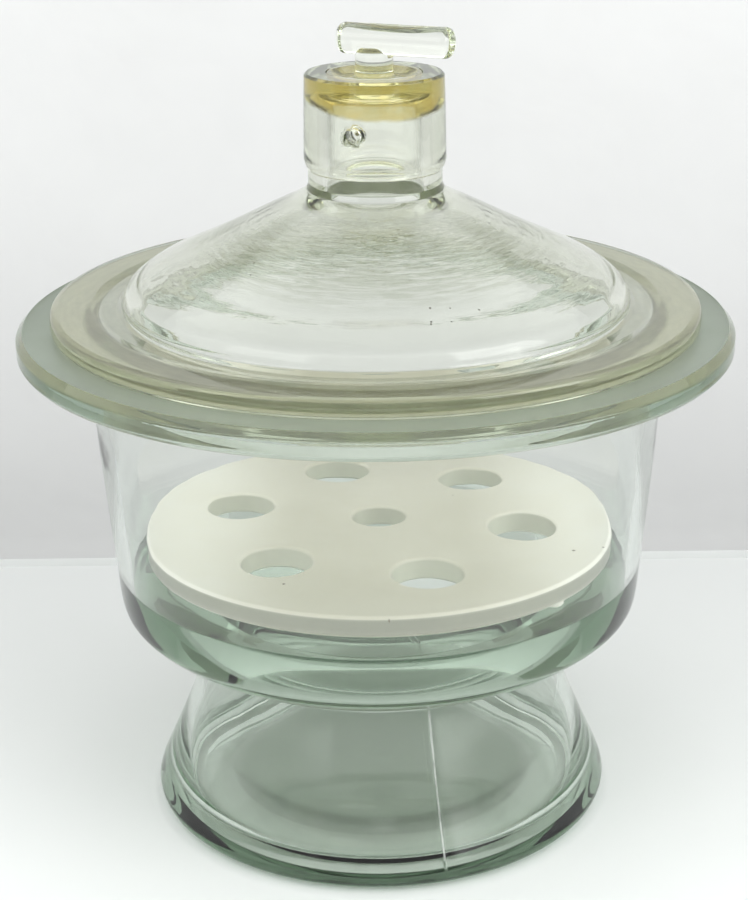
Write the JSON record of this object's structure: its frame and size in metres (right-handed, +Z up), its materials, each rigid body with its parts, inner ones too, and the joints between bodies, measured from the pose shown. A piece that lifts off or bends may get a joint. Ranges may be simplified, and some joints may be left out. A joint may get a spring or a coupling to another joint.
{
  "type": "laboratory desiccator",
  "caption": "Glass laboratory desiccator: flanged bowl on a flared foot, domed lid with a vented neck and turning hollow stopper, and a perforated porcelain plate.",
  "frame": {"origin": "centre of the foot, on the plane the foot stands on", "axes": "+Z up along the common axis of bowl, lid and stopper; -Y is the side the vent hole is nearest to"},
  "size_m": [0.2762, 0.2762, 0.3137],
  "materials": {
    "bowl_glass": "pressed soda-lime glass, green in thick sections, flange face ground",
    "lid_glass": "pressed soda-lime glass with faint chill ripples, flange face ground",
    "stopper_glass": "clear blown glass, ground cone",
    "rod_glass": "clear fire-polished rod",
    "porcelain": "cream glazed porcelain, lightly speckled",
    "grease": "thin translucent film of yellowed joint grease",
    "aged_grease": "translucent amber film of old joint grease"
  },
  "bodies": {
    "bowl": {"bowl": "bowl_glass"},
    "lid_seal": {"flange_grease": "grease"},
    "lid": {"lid": "lid_glass"},
    "stopper_seal": {"plug_grease": "aged_grease"},
    "stopper": {"valve_plug": "stopper_glass", "handle_bar": "rod_glass"},
    "plate": {"perforated_plate": "porcelain"}
  },
  "joints": [
    {"name": "lid_turn", "type": "hinge", "parent": "bowl", "child": "lid_seal", "pos_m": [0, 0, 0.2027], "axis": [0, 0, 1], "continuous": true},
    {"name": "lid_lift", "type": "slide", "parent": "lid_seal", "child": "lid", "axis": [0, 0, 1], "range_m": [0, 0.16]},
    {"name": "stopper_lift", "type": "slide", "parent": "lid", "child": "stopper_seal", "axis": [0, 0, 1], "range_m": [0, 0.06]},
    {"name": "stopper_turn", "type": "hinge", "parent": "stopper_seal", "child": "stopper", "pos_m": [0, 0, 0.28], "axis": [0, 0, 1], "continuous": true},
    {"name": "plate_lift", "type": "slide", "parent": "bowl", "child": "plate", "axis": [0, 0, 1], "range_m": [0, 0.08]}
  ]
}
